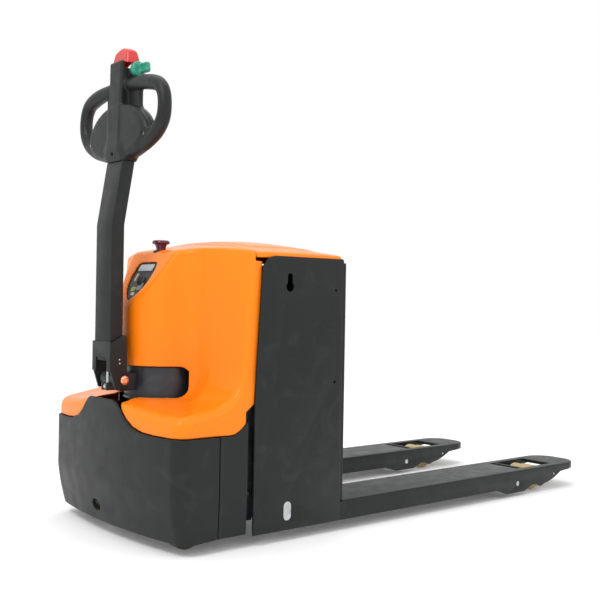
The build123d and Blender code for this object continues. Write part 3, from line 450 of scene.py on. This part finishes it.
def skirt_field(x, y, z):
    """The front skirt: a thin shell, with the round-ended hole of the brake release."""
    u, ay = x - HEEL_X, np.abs(y)
    solid = skirt_solid(u, ay, z)
    wall = np.maximum(solid, -(solid + 6.5))
    wall = smax(wall, above_edge(u, ay, z), 2.5)
    foot = 30 + 4 * np.clip((u + 470) / 60, 0, 1)
    wall = smax(wall, foot - z, 3)
    wall = smax(wall, u - JOINT_U + 1, 3)
    hole = rmax(np.abs(y - 40) - 20, np.abs(z - 75) - 14, 13.5)
    hole = np.maximum(hole, u + 500)
    return smax(wall, -hole, 5)


skirt = surface("skirt_front", skirt_field, (FRONT_X - 6, -344, 24), (HEEL_X - 400, 344, 376), SKIRT_STEP)
finish_piece(skirt, "charcoal_cover", "chassis", "front_skirt")


def flank_field(x, y, z):
    """The skirt's flanks, stepped in where they meet the front skirt."""
    u, ay = x - HEEL_X, np.abs(y)
    solid = ay - (SKIRT_SIDE - 0.5 - 5 * np.clip((150 - z) / 120, 0, 1.2))
    solid = solid + 1.6 * np.clip((u - JOINT_U - 5) / 5, 0, 1)
    wall = np.maximum(solid, -(solid + 6))
    wall = smax(wall, above_edge(u, ay, z), 2.5)
    wall = smax(wall, 34 - z, 3)
    wall = smax(wall, JOINT_U + 1 - u, 2.5)
    return smax(wall, u + 317, 3)


for side, name in ((-1, "right"), (1, "left")):
    edge = sorted((side * 322, side * 344))
    flank = surface(f"skirt_flank_{name}", flank_field, (HEEL_X - 410, edge[0], 26),
                    (HEEL_X - 312, edge[1], 340), 2.4)
    finish_piece(flank, "charcoal_cover", "chassis", *(("skirt_flanks",) if side < 0 else ()))


def shade_plate_field(x, y, z):
    """Painted shade: a dark plate each side, inside the gap between the covers and the side panel, standing in
    for the shade seen in that gap.
    """
    return rbox(x - HEEL_X + 310, np.abs(y) - 313, z - 215, 24, 1.6, 150, 1)


# These dark plates are painted shade for the gap between covers and side panel, not parts of the truck.
for side, name in ((-1, "right"), (1, "left")):
    edge = sorted((side * 308, side * 318))
    shade_plate = surface(f"gap_shade_plate_{name}", shade_plate_field, (HEEL_X - 338, edge[0], 60),
                     (HEEL_X - 282, edge[1], 370), 1.2)
    finish_piece(shade_plate, "motor_black", "chassis")

# ---- tiller head ------------------------------------------------------------------------------------
LOOP = ((3, 36, 1213, 15.5), (3, 78, 1210, 17.5), (3, 118, 1206, 19.5), (3, 157, 1199, 20), (3, 190, 1187, 19),
        (3, 210, 1163, 18), (3, 215, 1128, 18), (3, 206, 1096, 18.5), (2, 177, 1067, 19), (0, 130, 1044, 18),
        (0, 80, 1030, 16))
SCREW_PITS = ((144, 1066), (-144, 1066), (0, 1026))
BUTTON_WELLS = ((26, 1112), (-26, 1112), (0, 1070))


def head_field(x, y, z):
    """Bulged centre, spine, a loop each side, and the pits and wells cut into them."""
    px, ay = x - HEAD_X, np.abs(y)
    loop = chain(px, ay, z, LOOP)
    disc = (np.sqrt((ay / 160) ** 2 + ((z - 1062) / 99) ** 2) - 1) * 94
    under = (1012 + np.maximum(ay - 52, 0) * 0.36 + np.maximum(ay - 110, 0) * 0.3 - z) * 0.93
    disc = rmax(disc, under, 22)
    dome = 25.5 - 3.5 * np.clip(ay / 150, 0, 1) ** 2
    body = rmax(disc, np.abs(px) - dome, 14)
    spine = rbox(px, y, z - 1151.5, 23 + 3.5 * np.clip((1240 - z) / 140, 0, 1), 33, 125.5, 7)
    web = rbox(px - 8, ay - 55, z - 1172, 7, 33, 38, 4)
    boss = cyl(px - 15, z - THUMB[1], ay - 20, 14, 17, 4)
    neck = rbox(px - 1, y, z - 1024, 22, 42, 26, 9)
    solid = smin(body, loop, 14)
    solid = smin(solid, spine, 7)
    solid = smin(solid, web, 9)
    solid = smin(solid, neck, 22)
    solid = smin(solid, boss, 5)
    solid = smax(solid, 1006 - z, 3)
    seam = np.maximum(np.abs(px) - 0.6, -(solid + 1.0))
    solid = smax(solid, -seam, 1.0)
    for sy, sz in SCREW_PITS:
        pit = np.maximum(np.hypot(y - sy, z - sz) - 5.2, px + 10)
        solid = smax(solid, -pit, 1.5)
    for by, bz in BUTTON_WELLS:
        well = np.maximum(np.hypot(y - by, z - bz) - 13.2, 8 - px)
        solid = smax(solid, -well, 1.0)
    saddle = np.maximum(1257 - z, -13.5 - px)
    solid = smax(solid, -saddle, 1.0)
    return solid


head = surface("tiller_head", head_field, (HEAD_X - 36, -256, 1000), (HEAD_X + 36, 256, 1286), HEAD_STEP)
finish_piece(head, "grip_charcoal", "tiller", "head_shell_front", "head_shell_rear")


def cap_field(x, y, z):
    """A hollow crowned cap that sits over the top of the spine."""
    px, ay = x - HEAD_X - 10, np.abs(y)
    roof = 1317 - 0.10 * ay - 0.0052 * ay * ay - 0.012 * px * px
    flare = 44 - (z - 1272) * 0.27
    plan = rmax(ay - flare, np.abs(px) - (21.5 - (z - 1272) * 0.16), 8)
    solid = rmax(plan, (z - roof) * 0.9, 5)
    wall = np.maximum(solid, -(solid + 3.5))
    foot = 1270.5 + 9 * np.cos(np.clip(ay / 43, 0, 1) * math.pi * 0.5) ** 2
    return smax(wall, foot - z, 2.0)


cap = surface("belly_cap", cap_field, (HEAD_X - 16, -48, 1264), (HEAD_X + 36, 48, 1322), 1.3)
finish_piece(cap, "cap_red", "belly_button", "belly_button")


def thumb_field(x, y, z):
    """A paddle each side of the spine on one axle."""
    px, ay, pz = x - THUMB[0], np.abs(y), z - THUMB[1]
    lobe = rmax(np.hypot(px, pz) - 20.5, np.abs(ay - 56) - 9, 4)
    neck = rmax(np.hypot(px, pz) - 11.5, np.abs(ay - 44) - 7, 1.5)
    wing = rbox(px - 7 + 0.10 * pz, ay - 80, pz - 1, 7.5, 20, 13.5, 6)
    wing = smax(wing, -(np.hypot(px + 8, pz - 1) - 10), 5)
    axle = rmax(np.hypot(px, pz) - 5, ay - 50, 1)
    return smin(smin(smin(lobe, wing, 8), neck, 4), axle, 2)


thumb = surface("thumb_paddles", thumb_field, (THUMB[0] - 22, -118, 1228), (THUMB[0] + 24, 118, 1276), 1.5)
finish_piece(thumb, "thumb_green", "thumb_control", "thumb_control")


# ---- lathe and panel helpers -------------------------------------------------------------------------
def lathe(name, profile, place, turns=72):
    """A turned piece: profile is (radius, height) in millimetres, place carries it into the row frame."""
    bm = bmesh.new()
    rings = []
    for r, h in profile:
        ring = []
        for i in range(turns if r > 0.01 else 1):
            a = 2 * math.pi * i / turns
            ring.append(bm.verts.new(place @ Vector((r * math.cos(a) * MM, r * math.sin(a) * MM, h * MM))))
        rings.append(ring)
    for a, b in zip(rings, rings[1:]):
        for i in range(turns):
            j = (i + 1) % turns
            quad = [a[i % len(a)], a[j % len(a)], b[j % len(b)], b[i % len(b)]]
            face = [v for n, v in enumerate(quad) if v not in quad[:n]]
            if len(face) > 2:
                bm.faces.new(face)
    bmesh.ops.recalc_face_normals(bm, faces=bm.faces)
    mesh = mesh_from(bm, name)
    for p in mesh.polygons:
        p.use_smooth = True
    return in_scene(name, mesh)


def rounded(points, radius, steps=5):
    """A closed (radius, height) profile line with its inner corners rounded."""
    out = [points[0]]
    for before, here, after in zip(points, points[1:], points[2:]):
        p, q, r = Vector(before), Vector(here), Vector(after)
        cut = min(radius, (q - p).length * 0.45, (r - q).length * 0.45)
        start, end = q + (p - q).normalized() * cut, q + (r - q).normalized() * cut
        for i in range(steps + 1):
            t = i / steps
            out.append(tuple(start * (1 - t) ** 2 + q * 2 * t * (1 - t) + end * t ** 2))
    out.append(points[-1])
    return out


def at(x, y, z, toward=(0, 0, 1)):
    """A placement whose local Z points along toward."""
    turn = Vector(toward).to_track_quat("Z", "Y").to_matrix().to_4x4()
    return Matrix.Translation(Vector((x, y, z)) * MM) @ turn


# emergency stop: mushroom head on a tapered neck with a grip groove
stop_line = rounded([(0, 768), (15, 768), (15, 772), (12.6, 774), (13, 779), (17, 790), (23.5, 791.5), (25, 795),
                     (23, 800.5), (17, 801.6), (0, 800.2)], 2.4)
stop = lathe("stop_head", stop_line, at(STOP_X, 0, 0))
finish_piece(stop, "stop_maroon", "emergency_stop", "emergency_stop")
collar_line = rounded([(11.5, 766), (11.5, 773.2), (19, 773.2), (21.5, 770.6), (21.5, 765)], 1.4)
finish_piece(lathe("stop_collar", collar_line, at(STOP_X, 0, 0)), "fascia_grey", "chassis")

# sleeve round the steering drum, seen through the window
drum_line = rounded([(84, 362), (109.5, 362), (109.5, 366), (106.5, 369), (105.5, 452), (102, 459), (74, 460),
                     (74, 456)], 3)
drum = lathe("drum_sleeve", drum_line, at(STEER_X, 0, 0), 120)
finish_piece(drum, "motor_black", "steering")


def softened(name, node, slot, body, width=1.4, segments=3, angle=28):
    """The CAD node's own shape with its edges eased, so that they catch the light."""
    source = NODES[node].data
    bm = bmesh.new()
    bm.from_mesh(source)
    bmesh.ops.remove_doubles(bm, verts=bm.verts, dist=2e-6)
    bmesh.ops.dissolve_limit(bm, angle_limit=math.radians(0.6), verts=bm.verts, edges=bm.edges)
    mesh = mesh_from(bm, name)
    obj = in_scene(name, mesh)
    bevel = obj.modifiers.new("ease", "BEVEL")
    bevel.width = width * MM
    bevel.segments = segments
    bevel.limit_method = "ANGLE"
    bevel.angle_limit = math.radians(angle)
    bevel.harden_normals = True
    for p in mesh.polygons:
        p.use_smooth = True
    with_modifier = bpy.data.meshes.new_from_object(obj.evaluated_get(bpy.context.evaluated_depsgraph_get()))
    obj.modifiers.clear()
    obj.data = with_modifier
    return finish_piece(obj, slot, body, node)


SOFT = (("left_side_panel", "lift_carriage", 1.2), ("right_side_panel", "lift_carriage", 1.2),
        ("back_plate", "lift_carriage", 1.6), ("left_fork", "lift_carriage", 1.2),
        ("right_fork", "lift_carriage", 1.2), ("tiller_bracket", "tiller", 1.0),
        ("tiller_yoke", "steering", 1.6), ("left_rocker", "left_rocker", 1.2),
        ("right_rocker", "right_rocker", 1.2), ("tiller_arm", "tiller", 4.0))
SLOT_OF = {part["node"]: part["material_slot"] for part in frame["record"]["subparts"]}
for node, body, width in SOFT:
    softened(f"{node}_eased", node, SLOT_OF[node], body, width)


# ---- fascia details ------------------------------------------------------------------------------------
FASCIA_AT = Vector((HEEL_X + FASCIA_U, 0, FASCIA_Z)) * MM
ACROSS, UP, OUT = Vector((0, -1, 0)), Vector((RISE[0], 0, RISE[1])), Vector((-RISE[1], 0, RISE[0]))


def on_fascia(right, up, out):
    """A point given by its place on the fascia, in millimetres."""
    return FASCIA_AT + (ACROSS * right + UP * up + OUT * out) * MM


def pad(name, right, up, half_right, half_up, low, high, radius, dome=0.0):
    """A raised patch with rounded corners and an eased rim, standing on the fascia."""
    bm = bmesh.new()
    rings = []
    levels = ((0, low), (0, high - 0.8), (0.25, high - 0.25), (0.8, high), (half_up * 0.5, high + dome))
    for inset, out in levels:
        ring = []
        hr, hu, r = half_right - inset, half_up - inset, max(radius - inset, 0.3)
        for cx, cy, start in ((1, 1, 0), (-1, 1, 90), (-1, -1, 180), (1, -1, 270)):
            for i in range(7):
                a = math.radians(start + 15 * i)
                px, py = cx * (hr - r) + r * math.cos(a), cy * (hu - r) + r * math.sin(a)
                ring.append(bm.verts.new(on_fascia(right + px, up + py, out)))
        rings.append(ring)
    for a, b in zip(rings, rings[1:]):
        for i in range(len(a)):
            j = (i + 1) % len(a)
            bm.faces.new((a[i], a[j], b[j], b[i]))
    bm.faces.new(rings[-1])
    bmesh.ops.recalc_face_normals(bm, faces=bm.faces)
    mesh = mesh_from(bm, name)
    for p in mesh.polygons:
        p.use_smooth = len(p.vertices) == 4
    return in_scene(name, mesh)


lime = material("label_lime", (0.33, 0.50, 0.03), 0.5, (900, 0.03), (30, 0.1))
white = material("label_white", (0.62, 0.64, 0.60), 0.5, (900, 0.03), (30, 0.1))
finish_piece(pad("gauge_window", 0, 44, 37, 9, -3.6, -1.6, 3, 0.3), "gauge_lens", "chassis")
finish_piece(pad("label_lime", -12, -26, 11, 7, -5.2, -4.4, 2), "fascia_grey", "chassis", paint=lime)
finish_piece(pad("label_white", -2, -42, 9, 5, -5.2, -4.4, 1.5), "fascia_grey", "chassis", paint=white)
finish_piece(pad("switch_plate", 16, -18, 12, 12, -5.2, -3.4, 3, 0.2), "button_grey", "chassis")
finish_piece(pad("socket_cover", -26, 14, 12, 11, -5.2, -1.8, 4, 0.4), "fascia_grey", "chassis")
knob_line = rounded([(9.5, -5), (16, -5), (16, -2), (13.5, 0), (12, 7), (9.2, 8.6), (9.2, 2)], 1.2)
knob_place = at(*(on_fascia(8, 0, 0) / MM), toward=OUT)
finish_piece(lathe("key_bezel", knob_line, knob_place), "fascia_grey", "chassis")

# ---- fixings and trim ---------------------------------------------------------------------------------
BOLT = rounded([(0, -2.5), (9, -2.5), (10.6, -1), (10.6, 0.5), (9.4, 2.4), (6, 3.2), (5.4, 3.2), (5.4, 1.4),
                (0, 1.4)], 0.8)
PIVOT_Z = 419
bracket_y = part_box("tiller_bracket")[1].y / MM
for side, name in ((-1, "right"), (1, "left")):
    bolt = lathe(f"pivot_bolt_{name}", [(r * 1.12, h * 1.3) for r, h in BOLT],
                 at(PIVOT_X, side * (bracket_y + 3.6), PIVOT_Z, toward=(0, side, 0)), 48)
    finish_piece(bolt, "pivot_brass", "tiller")
    for n, (dx, dz) in enumerate(((-14, 55), (-13, 45))):
        rivet = lathe(f"bracket_rivet_{name}_{n}", rounded([(0, 1.5), (1.8, 1.2), (2.4, 0.2), (2.4, -1)], 0.6),
                      at(PIVOT_X + dx, side * bracket_y, PIVOT_Z + dz, toward=(0, side, 0)), 20)
        finish_piece(rivet, "zinc_steel", "tiller")

# ---- camera, light, floor -------------------------------------------------------------------------------
YAW, ROLL, FOCAL_PX = math.radians(50.33), math.radians(0.97), 935
ahead = Vector((math.cos(YAW), math.sin(YAW), 0))
side_on = Vector((math.sin(YAW), -math.cos(YAW), 0))
rise = side_on.cross(ahead)
right = side_on * math.cos(ROLL) + rise * math.sin(ROLL)
upward = rise * math.cos(ROLL) - side_on * math.sin(ROLL)
camera = in_scene("camera", bpy.data.cameras.new("camera"))
camera.data.sensor_width = 36
camera.data.lens = 36 * FOCAL_PX / 600
camera.matrix_world = Matrix.Translation((-2.049, -2.269, 0.641)) @ Matrix(
    (right, upward, -ahead)).transposed().to_4x4()
bpy.context.scene.camera = camera

world = bpy.data.worlds.new("studio")
world.use_nodes = True
world.node_tree.nodes["Background"].inputs["Color"].default_value = (1, 1, 1, 1)
world.node_tree.nodes["Background"].inputs["Strength"].default_value = 1.0
bpy.context.scene.world = world
bpy.context.scene.view_settings.view_transform = "Standard"


def softbox(name, place, target, width, height, power):
    data = bpy.data.lights.new(name, "AREA")
    data.shape = "RECTANGLE"
    data.size, data.size_y, data.energy = width, height, power
    lamp = in_scene(name, data)
    lamp.location = place
    lamp.rotation_euler = (Vector(target) - Vector(place)).to_track_quat("-Z", "Y").to_euler()


softbox("key", (-2.6, -0.9, 2.9), (-0.5, 0, 0.5), 1.0, 1.0, 34)
softbox("side", (0.4, -3.4, 2.2), (-0.2, 0, 0.4), 2.4, 1.6, 14)
softbox("top", (0.0, 0.6, 3.8), (0, 0, 0.2), 3.0, 2.4, 30)

FLOOR = 24
floor_mesh = bpy.data.meshes.new("floor")
floor_mesh.from_pydata([(-FLOOR, -FLOOR, 0), (FLOOR, -FLOOR, 0), (FLOOR, FLOOR, 0), (-FLOOR, FLOOR, 0)],
                       [], [(0, 1, 2, 3)])
floor = in_scene("floor", floor_mesh)
floor_mesh.materials.append(material("floor", (0.93, 0.93, 0.93), 0.75, (60, 0.01), (0.6, 0.004), spec=0.1))
floor_shader = floor_mesh.materials[0].node_tree.nodes["Principled BSDF"]
floor_shader.inputs["Emission Color"].default_value = (1, 1, 1, 1)
floor_shader.inputs["Emission Strength"].default_value = 0.09
